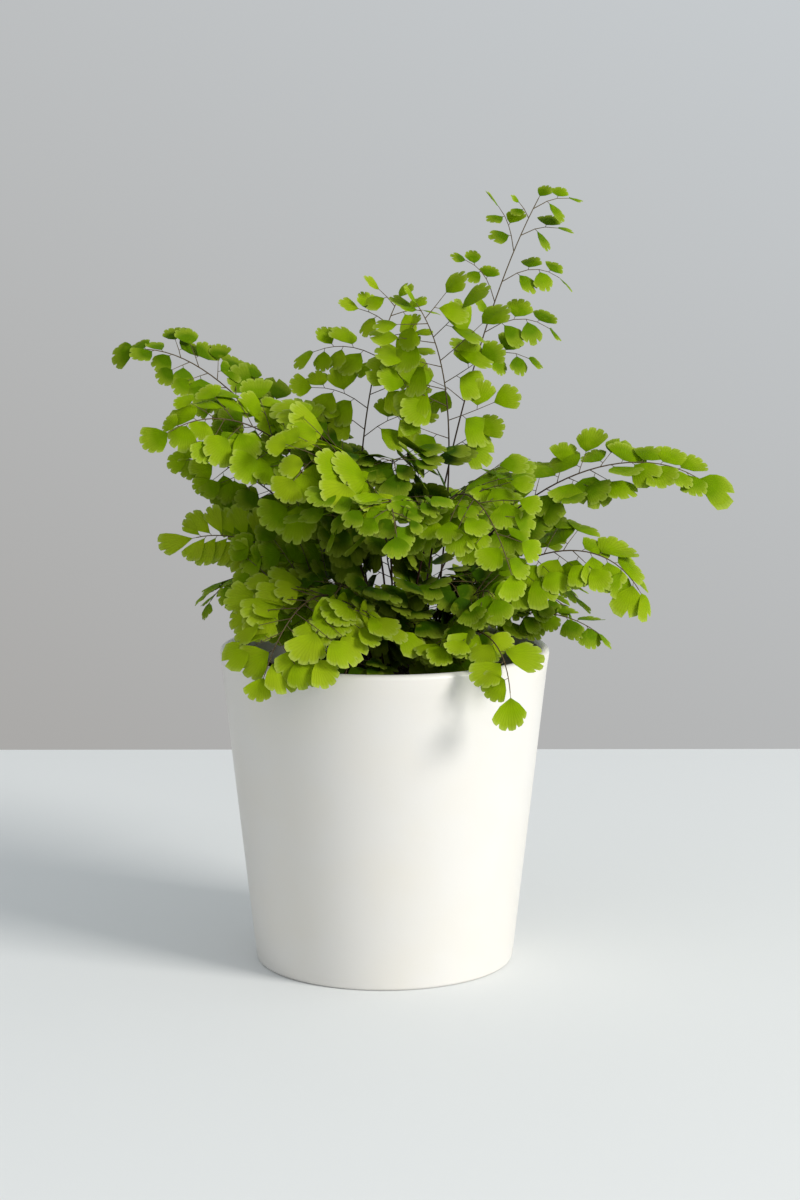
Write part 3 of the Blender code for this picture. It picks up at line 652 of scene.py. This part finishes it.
        base=(6, 12), rise=(6, 24, 118), fall=(-8, 52, 132), tip=(-14, 68, 110),
        bare=0.35, pinnae=12, branch=3, leaf=12, roll=0, tone=0.4, seek=0.1),
    "frond_back_low_right": dict(
        base=(10, 12), rise=(14, 24, 118), fall=(28, 50, 130), tip=(36, 64, 110),
        bare=0.35, pinnae=12, branch=3, leaf=12, roll=0, tone=0.4, seek=0.1),
}
stalk = dict(footRadius=0.43 * mm, tipRadius=0.17 * mm, twigRadius=0.18 * mm, threadRadius=0.11 * mm,
             lift=0.6 * mm, steps=32, sides=7, reach=16 * mm, stiffness=2.5, ease=0.3, rounds=160,
             space=2 * 1.42 * 0.62 * mm + 0.9 * mm)  # two square rods corner to corner, and a gap
# First how far chance moves a shoot's roll and angle and a leaflet's dip, in degrees, and its tone and size;
# then what holds for all shoots. Leaves turn part of the way to the window.
habit = dict(roll=7, angle=9, dip=12, tone=0.14, olderTone=0.12, size=(0.88, 1.12), growth=(0.9, 1.12),
             slim=(0.92, 1.08), thread=0.12, openAngle=64, closeBy=14, sideAngle=62, dwindle=0.25,
             lastLeaf=0.85, topStart=0.74, topSeek=0.3, toWindow=np.array((0.30, -0.72, 0.62)))
common = dict(  # for a frond that says nothing else
    level=0.0, seek=0.35, flutter=16, nod=10, stem=0.35, sag=0.06, sweep=0.05, crowd=0.42, taper=0.42,
    endLeaf=0.7, kinds=(0, 1, 2, 3, 4, 5, 1, 4, 5, 9))


def unit(v):
    return v / max(np.linalg.norm(v), 1e-9)


def turn(v, axis, degrees):
    a = math.radians(degrees)
    axis = unit(axis)
    return v * math.cos(a) + np.cross(axis, v) * math.sin(a) + axis * np.dot(axis, v) * (1 - math.cos(a))


def stalkFoot(x, y):  # the height where a stalk starts, just above the rhizome's top
    cx, cy = rhizome["centre"]
    hx, hy, hz = rhizome["half"]
    across = ((x - cx) / hx) ** 2 + ((y - cy) / hy) ** 2
    ground = soil["level"] + soil["crown"] + 0.3 * mm + hz * math.sqrt(max(0.0, 1 - across))
    return ground + stalk["lift"]


def firstRoute(frond):
    x, y = (c * mm for c in frond["base"])
    a = np.array([x, y, stalkFoot(x, y)])
    b, c, d = (np.array(frond[key]) * mm for key in ("rise", "fall", "tip"))
    t = np.linspace(0, 1, stalk["steps"] + 1)[:, None]
    return a * (1 - t) ** 3 + 3 * b * t * (1 - t) ** 2 + 3 * c * t * t * (1 - t) + d * t ** 3


def nearestBetween(a0, a1, b0, b1):  # the step between two segments where they come closest
    d1, d2, r = a1 - a0, b1 - b0, a0 - b0
    aa, bb, ab = (d1 * d1).sum(-1), (d2 * d2).sum(-1), (d1 * d2).sum(-1)
    ar, br = (d1 * r).sum(-1), (d2 * r).sum(-1)
    s = np.clip((ab * br - ar * bb) / np.maximum(aa * bb - ab * ab, 1e-16), 0, 1)
    t = np.clip((ab * s + br) / bb, 0, 1)
    s = np.clip((ab * t - ar) / aa, 0, 1)
    return (b0 + d2 * t[..., None]) - (a0 + d1 * s[..., None])


def spread(routes):  # moves stalks apart where they would touch
    routes = np.array(routes)
    count, points, _ = routes.shape
    owner = np.repeat(np.arange(count), points - 1)
    spot = np.tile(np.arange(points - 1), count)
    one, two = np.nonzero(owner[:, None] < owner[None, :])
    steps = np.subtract.outer(np.arange(points), np.arange(points))
    near = np.exp(-0.5 * (steps / stalk["stiffness"]) ** 2)
    for _ in range(stalk["rounds"]):
        start, end = routes[:, :-1].reshape(-1, 3), routes[:, 1:].reshape(-1, 3)
        middle = (start + end) / 2
        close = np.linalg.norm(middle[one] - middle[two], axis=1) < stalk["reach"]
        i, j = one[close], two[close]
        away = nearestBetween(start[i], end[i], start[j], end[j])
        gap = np.linalg.norm(away, axis=1)
        hit = gap < stalk["space"]
        if not hit.any():
            break
        push = np.zeros_like(routes)
        for a, b, step, wide in zip(i[hit], j[hit], away[hit], gap[hit]):
            way = step / wide if wide > 1e-6 else np.array([1.0, 0, 0])
            move = way * (stalk["space"] - wide) * stalk["ease"]
            for who, sign in ((a, -1), (b, 1)):
                field = push[owner[who]]
                wanted = sign * move * near[spot[who]][:, None]
                push[owner[who]] = np.where(np.abs(wanted) > np.abs(field), wanted, field)
        routes = routes + push
        for route in routes:
            route[0, 2] = stalkFoot(route[0, 0], route[0, 1])
    return list(routes)


def at(route, t):
    spot = t * (len(route) - 1)
    i = min(int(spot), len(route) - 2)
    return route[i] + (route[i + 1] - route[i]) * (spot - i)


def heading(route, t):
    return unit(at(route, min(t + 0.02, 1)) - at(route, max(t - 0.02, 0)))


def flatOf(route, t, roll):  # the way the stalk runs at a place, and the upward of the frond's flat
    run = route[-1] - route[0]
    level = unit(np.cross(np.array([run[0], run[1], 0.0]), up))
    along = heading(route, t)
    side = turn(unit(level - along * np.dot(level, along)), along, roll)
    return along, np.cross(side, along)


def shootsOf(frond):  # each side shoot's place on the stalk, side, leaflets, angle and size
    if "shoots" in frond:
        return frond["shoots"]
    found = []
    pinnae, branch = frond["pinnae"], frond["branch"]
    for i in range(pinnae):
        share = (i / pinnae) ** 0.9
        count = max(1, round(branch * (1 - share) ** 0.8 + (0.5 if branch > 1 else 0)))
        t = frond["bare"] + (1 - frond["bare"]) * share
        angle = habit["openAngle"] - habit["closeBy"] * share
        found.append((t, (1, -1)[i % 2], count, angle, 1 - frond["taper"] * share ** 1.5))
    return found


def levelled(normal, along, share, goal=up):  # a leaf's face turned part of the way to a goal
    mixed = normal * (1 - share) + goal * share
    mixed = mixed - along * np.dot(mixed, along)
    return unit(mixed) if np.linalg.norm(mixed) > 0.1 else normal


def growFrond(given, route, seed):  # its leaflets, and its stalks as lines with a girth and an age
    rng = np.random.default_rng(seed)
    frond = {**common, **given}
    leaf, level = frond["leaf"] * mm, frond["level"]
    leaves = []
    strands = [(route, np.linspace(stalk["footRadius"], stalk["tipRadius"], len(route)), 0.0, 1.0)]

    def putLeaf(foot, along, normal, size, share):
        flat, seek = level, frond["seek"]
        if share > habit["topStart"] and "topLevel" in frond:
            flat, seek = frond["topLevel"], seek * habit["topSeek"]
        yaw = rng.uniform(-1, 1) * frond["flutter"]
        dip = rng.uniform(-habit["dip"], habit["dip"])
        face = levelled(levelled(normal, along, flat), along, seek, habit["toWindow"])
        face = turn(face, along, yaw)
        out = turn(along, np.cross(along, face), dip * 0.6 - frond["nod"])
        face = unit(face - out * np.dot(face, out))
        thread = habit["thread"] * size
        base = foot + along * thread
        strands.append((np.array([foot, foot + along * thread * 0.6, base + out * 0.02 * size]),
                        np.full(3, stalk["threadRadius"]), share, share))
        older = habit["olderTone"] * (share - 0.5)
        leaves.append(dict(at=base, axis=out, face=face, size=size * rng.uniform(*habit["growth"]),
                           tone=frond["tone"] + rng.uniform(-habit["tone"], habit["tone"]) + older,
                           kind=int(rng.choice(frond["kinds"])), slim=rng.uniform(*habit["slim"])))

    for t, side, count, angle, share in shootsOf(frond):
        foot = at(route, t)
        along, normal = flatOf(route, t, frond["roll"] + rng.uniform(-habit["roll"], habit["roll"]))
        out = turn(along, normal, side * (angle + rng.uniform(-habit["angle"], habit["angle"])))
        size = leaf * share * rng.uniform(*habit["size"])
        if count == 1:
            putLeaf(foot, out, normal, size, t)
            continue
        lead, hand = out.copy(), side
        spot = foot + lead * size * frond["stem"]
        line = [foot, spot.copy()]
        for n in range(count - 1):
            smaller = 1 - habit["dwindle"] * n / count
            lead = unit(lead - up * frond["sag"] + along * frond["sweep"])
            face = levelled(normal, lead, level * 0.5)
            putLeaf(spot, turn(lead, face, hand * habit["sideAngle"]), face, size * smaller, t)
            hand = -hand
            spot = spot + lead * size * frond["crowd"] * smaller
            line.append(spot.copy())
        putLeaf(spot, lead, levelled(normal, lead, level * 0.5), size * habit["lastLeaf"], t)
        girths = np.linspace(stalk["twigRadius"], stalk["threadRadius"], len(line))
        strands.append((np.array(line), girths, t, 1.0))
    along, normal = flatOf(route, 1.0, frond["roll"])
    putLeaf(route[-1], along, normal, leaf * frond["endLeaf"], 1.0)
    return leaves, strands


# Each leaflet is a fan, one unit wide, that opens from its foot: half its opening in degrees, lobes, how deep
# they are cut, how far the margin falls back at the sides, how cupped it is, a skew to one side, its length.
leafletPlan = [
    dict(open=62, lobes=6, cut=0.05, fall=0.17, cup=0.22, skew=0.0, long=1.10),
    dict(open=57, lobes=5, cut=0.07, fall=0.16, cup=0.14, skew=0.10, long=1.15),
    dict(open=56, lobes=3, cut=0.14, fall=0.14, cup=0.18, skew=-0.08, long=1.20),
    dict(open=50, lobes=4, cut=0.08, fall=0.12, cup=0.12, skew=0.06, long=1.15),
    dict(open=60, lobes=4, cut=0.10, fall=0.18, cup=0.26, skew=-0.12, long=1.15),
    dict(open=54, lobes=5, cut=0.06, fall=0.16, cup=-0.08, skew=0.16, long=1.20),
    dict(open=40, lobes=3, cut=0.07, fall=0.04, cup=0.18, skew=0.0, long=1.60),
    dict(open=37, lobes=3, cut=0.10, fall=0.03, cup=0.12, skew=0.12, long=1.55),
    dict(open=68, lobes=6, cut=0.05, fall=0.14, cup=0.16, skew=0.04, long=1.05),
    dict(open=54, lobes=2, cut=0.24, fall=0.12, cup=0.10, skew=0.10, long=1.20),
]
# Shared by every leaflet: half its thickness, where its waist lies, its waves, how far a lobe swells and how
# the two corners turn.
leafletGrain = dict(thick=0.011, waist=0.55, wave=0.04, waves=4.5, swell=0.07, sides=2.6, corner=0.88,
                    cornerOut=1.10, crowding=0.10, seed=40)


def leafletShapes():
    home = bpy.data.collections.new("leafletShapes")
    grain = leafletGrain
    for number, plan in enumerate(leafletPlan):
        rng = np.random.default_rng(grain["seed"] + number)
        lobes, phase = plan["lobes"], rng.uniform(0, 6)
        opening, last = math.radians(plan["open"]), 4 * plan["lobes"]
        full = plan["long"] / (2 * math.sin(min(opening, 1.4)) * (1 - 0.8 * plan["fall"]))
        depths = plan["cut"] * rng.uniform(0.5, 1.3, lobes + 1)

        def spot(share, reach, rise):
            angle = (share * 2 - 1) * opening
            x, y = reach * math.sin(angle) / plan["long"], reach * math.cos(angle)
            wave = grain["wave"] * math.sin(grain["waves"] * angle + phase) * reach
            return x, y, wave - plan["cup"] * reach ** 2 + rise

        bm = bmesh.new()
        foot = bm.verts.new((0, 0, 0))
        rim, rings = [], ([], [])
        for step in range(last + 1):
            share, inLobe = step / last, (step % 4) / 4
            off, corner = share * 2 - 1, step in (0, last)
            even = full * (1 - plan["fall"] * abs(off) ** grain["sides"]) * (1 + plan["skew"] * off)
            swell = (1 - (2 * inLobe - 1) ** 2) * grain["swell"]
            notch = depths[step // 4] if step % 4 == 0 and not corner else 0.0
            reach = even * (1 + swell - notch) * (grain["corner"] if corner else 1)
            shift = {0.25: -grain["crowding"], 0.75: grain["crowding"]}.get(inLobe, 0) / lobes
            rim.append(bm.verts.new(spot(share + shift, reach, 0)))
            if step % 4 == 0:
                drawn = grain["cornerOut"] if corner else 1.0
                for ring, rise in zip(rings, (grain["thick"], -grain["thick"])):
                    ring.append(bm.verts.new(spot(0.5 + (share - 0.5) * drawn, even * grain["waist"], rise)))
        for ring, flip in zip(rings, (1, -1)):
            for n in range(lobes):
                a, b = ring[n], ring[n + 1]
                edge = rim[4 * n: 4 * n + 5]
                for corners in ((foot, b, a), (a, edge[1], edge[0]), (a, edge[2], edge[1]), (a, b, edge[2]),
                                (b, edge[3], edge[2]), (b, edge[4], edge[3])):
                    bm.faces.new(corners[::flip])
        outline = list(zip(rim, rim[1:]))
        for end, flip in ((0, 1), (-1, -1)):
            above, below = rings[0][end], rings[1][end]
            bm.faces.new((foot, above, below)[::flip])
            bm.faces.new((above, rim[end], below)[::flip])
            outline += [(foot, above), (foot, below), (above, rim[end]), (below, rim[end])]
        for pair in outline:
            bm.edges.get(pair).smooth = False
        for face in bm.faces:
            face.smooth = True
        bm.verts.index_update()
        outer = [vert.index for vert in rim]
        name = "leaflet%d" % number
        mesh = meshFrom(bm, name)
        spots = spotsOf(mesh)
        spots[:, 2] = grain["waist"]  # from here on, how near the margin
        spots[0, 2], spots[outer, 2] = 0, 1
        mesh.attributes.new("leafPlace", "FLOAT_VECTOR", "POINT").data.foreach_set("vector", spots.ravel())
        home.objects.link(bpy.data.objects.new(name, mesh))
    return home


leafLook = dict(
    greens=[(0.0, (0.026, 0.070, 0.0005)), (0.35, (0.115, 0.225, 0.001)), (0.65, (0.265, 0.420, 0.002)),
            (1.0, (0.430, 0.560, 0.012))],
    outer=(0.50, 0.60, 0.040), margin=(0.62, 0.70, 0.16), foot=(0.05, 0.11, 0.001), vein=(0.07, 0.13, 0.001),
    fleck=(0.42, 0.50, 0.020), through=(0.43, 0.57, 0.003), veins=26.0, forkAt=0.28,
    outerShare=0.30, footShare=0.45, veinShare=0.14, fleckShare=0.35)
stalkLook = dict(old=(0.020, 0.010, 0.007), young=(0.140, 0.105, 0.036), speck=(0.060, 0.024, 0.012))


def leafFinish():
    finish, board = newMaterial("fern leaf")
    look, tone = leafLook, board.mark("leafToneAndShade")
    spot = board.add("ShaderNodeAttribute", {"attribute_name": "leafPlace"})
    parts = board.add("ShaderNodeSeparateXYZ", values={"Vector": spot.outputs["Vector"]})
    x, y, margin = (board.signal(parts, output) for output in range(3))
    angle = tone.maths("ARCTAN2", x, y + 0.0001)
    reach = tone.maths("SQRT", x * x + y * y)
    blotch, drift = board.noise(260.0, 3.0), board.noise(55.0, 2.0)
    bend = angle + (blotch - 0.5) * 0.10
    coarse = tone.maths("COSINE", bend * look["veins"])
    fine = tone.maths("COSINE", bend * (2 * look["veins"]))
    forked = reach.past(look["forkAt"], 6.0)  # each vein splits in two on its way out
    vein = ((coarse * (1 - forked) + fine * forked) * 0.5 + 0.5) ** 3.0
    # light carries the leaf's own tone plus painted light and shade (dark inner fronds, lightened mast); the
    # green ramp, the pale margin and the share of translucency all follow it
    light = (tone + (drift - 0.5) * 0.5).clamped()
    body = board.ramp(light, look["greens"])
    body = board.blend(reach.past(0.42, 4.5) * look["outerShare"], body, look["outer"])
    body = board.blend(margin.past(0.86, 8.0) * (light * 0.55 + 0.10), body, look["margin"])
    body = board.blend(((0.30 - reach) * 3.5).clamped() * look["footShare"], body, look["foot"])
    body = board.blend(vein * look["veinShare"], body, look["vein"])
    body = board.blend(blotch.past(0.60, 5.0) * look["fleckShare"], body, look["fleck"])
    bump = board.bump(0.2, 0.2 * mm, vein)
    top = board.add("ShaderNodeBsdfPrincipled", values={"Base Color": body, "Roughness": 0.46 + blotch * 0.14,
                                                        "Normal": bump, "Specular IOR Level": 0.025})
    through = board.add("ShaderNodeBsdfTranslucent", values={"Color": (*look["through"], 1), "Normal": bump})
    both = board.add("ShaderNodeMixShader", values={"Fac": light * 0.26 + 0.21})
    board.links.new(top.outputs[0], both.inputs[1])
    board.links.new(through.outputs[0], both.inputs[2])
    board.show(both)
    return finish


def stalkFinish():
    finish, board = newMaterial("wiry stalk")
    age, speck = board.mark("stalkAge"), board.noise(700.0, 3.0)
    shade = board.blend(age.past(0.45, 1.6), stalkLook["old"], stalkLook["young"])
    board.show(board.add("ShaderNodeBsdfPrincipled", values={
        "Base Color": board.blend(speck * 0.5, shade, stalkLook["speck"]), "Roughness": 0.40 + speck * 0.15,
        "Specular IOR Level": 0.25}))
    return finish


def stored(board, name, kind="FLOAT_VECTOR"):
    return board.add("GeometryNodeInputNamedAttribute", {"data_type": kind}, {"Name": name}).outputs[0]


def leafTree(shapes, finish):  # a leaflet on every point, turned by the point's own axis and face
    tree, board, given = newTree("growLeaflets", [("Leaf scale", "Float", 1.0)])
    pose = board.add("FunctionNodeAxesToRotation", {"primary_axis": "Y", "secondary_axis": "Z"},
                     {"Primary Axis": stored(board, "leafAxis"), "Secondary Axis": stored(board, "leafFace")})
    grown = board.add("ShaderNodeVectorMath", {"operation": "SCALE"},
                      {"Vector": stored(board, "leafSize"), "Scale": given.outputs["Leaf scale"]})
    pool = board.add("GeometryNodeCollectionInfo", values={"Collection": shapes, "Separate Children": True,
                                                           "Reset Children": True})
    copies = board.add("GeometryNodeInstanceOnPoints", values={
        "Points": given.outputs["Geometry"], "Instance": pool.outputs[0], "Pick Instance": True,
        "Instance Index": stored(board, "leafKind", "INT"), "Rotation": pose.outputs[0],
        "Scale": grown.outputs[0]})
    endTree(board, copies.outputs[0], finish)
    return tree


def stalkTree(finish):  # every strand becomes a thin tapered tube
    tree, board, given = newTree("drawStalks", [("Sides", "Int", 7)])
    lines = board.add("GeometryNodeMeshToCurve", values={"Mesh": given.outputs["Geometry"]})
    ring = board.add("GeometryNodeCurvePrimitiveCircle", values={"Resolution": given.outputs["Sides"],
                                                                 "Radius": 1.0})
    tube = board.add("GeometryNodeCurveToMesh", values={
        "Curve": lines.outputs[0], "Profile Curve": ring.outputs[0], "Scale": stored(board, "girth", "FLOAT"),
        "Fill Caps": True})
    endTree(board, tube.outputs[0], finish)
    return tree


def store(mesh, name, kind, values):
    field = "vector" if kind == "FLOAT_VECTOR" else "value"
    mesh.attributes.new(name, kind, "POINT").data.foreach_set(field, np.array(values).ravel())


def leafPoints(leaves):
    mesh = bpy.data.meshes.new("leafPoints")
    mesh.from_pydata([leaf["at"] for leaf in leaves], [], [])
    store(mesh, "leafAxis", "FLOAT_VECTOR", [leaf["axis"] for leaf in leaves])
    store(mesh, "leafFace", "FLOAT_VECTOR", [leaf["face"] for leaf in leaves])
    store(mesh, "leafSize", "FLOAT_VECTOR", [(leaf["size"] * leaf["slim"], leaf["size"], leaf["size"])
                                             for leaf in leaves])
    store(mesh, "leafToneAndShade", "FLOAT", [leaf["tone"] for leaf in leaves])
    store(mesh, "leafKind", "INT", [leaf["kind"] for leaf in leaves])
    return place("leafPoints", mesh)


def strandLines(strands):
    points, edges, girths, ages = [], [], [], []
    for line, girth, young, old in strands:
        first = len(points)
        points += list(line)
        edges += [(first + i, first + i + 1) for i in range(len(line) - 1)]
        girths += list(girth)
        ages += list(np.linspace(young, old, len(line)))
    mesh = bpy.data.meshes.new("strandLines")
    mesh.from_pydata(points, edges, [])
    store(mesh, "girth", "FLOAT", girths)
    store(mesh, "stalkAge", "FLOAT", ages)
    return place("strandLines", mesh)


def camel(node):
    first, *rest = node.split("_")
    return first + "".join(word.capitalize() for word in rest)


def makeFronds():
    names = list(frondPlan)
    routes = dict(zip(names, spread([firstRoute(frondPlan[name]) for name in names])))
    leafPatch = leafTree(leafletShapes(), leafFinish())
    stalkPatch = stalkTree(stalkFinish())
    total = 0
    for seed, name in enumerate(names, start=1):
        leaves, strands = growFrond(frondPlan[name], routes[name], seed)
        total += len(leaves)
        stem = camel(name)
        leafPiece = runTree(leafPoints(leaves), leafPatch, {"Leaf scale": 1.0}, stem + "Leaves")
        stalkPiece = runTree(strandLines(strands), stalkPatch, {"Sides": stalk["sides"]}, stem + "Stalk")
        stalkPiece.data.shade_smooth()
        settle(leafPiece, [name])
        settle(stalkPiece, [])
    print("fronds ready:", len(names), "fronds,", total, "leaflets")


makeStudio()
makePot()
makeSoil()
makeRhizome()
makeFronds()
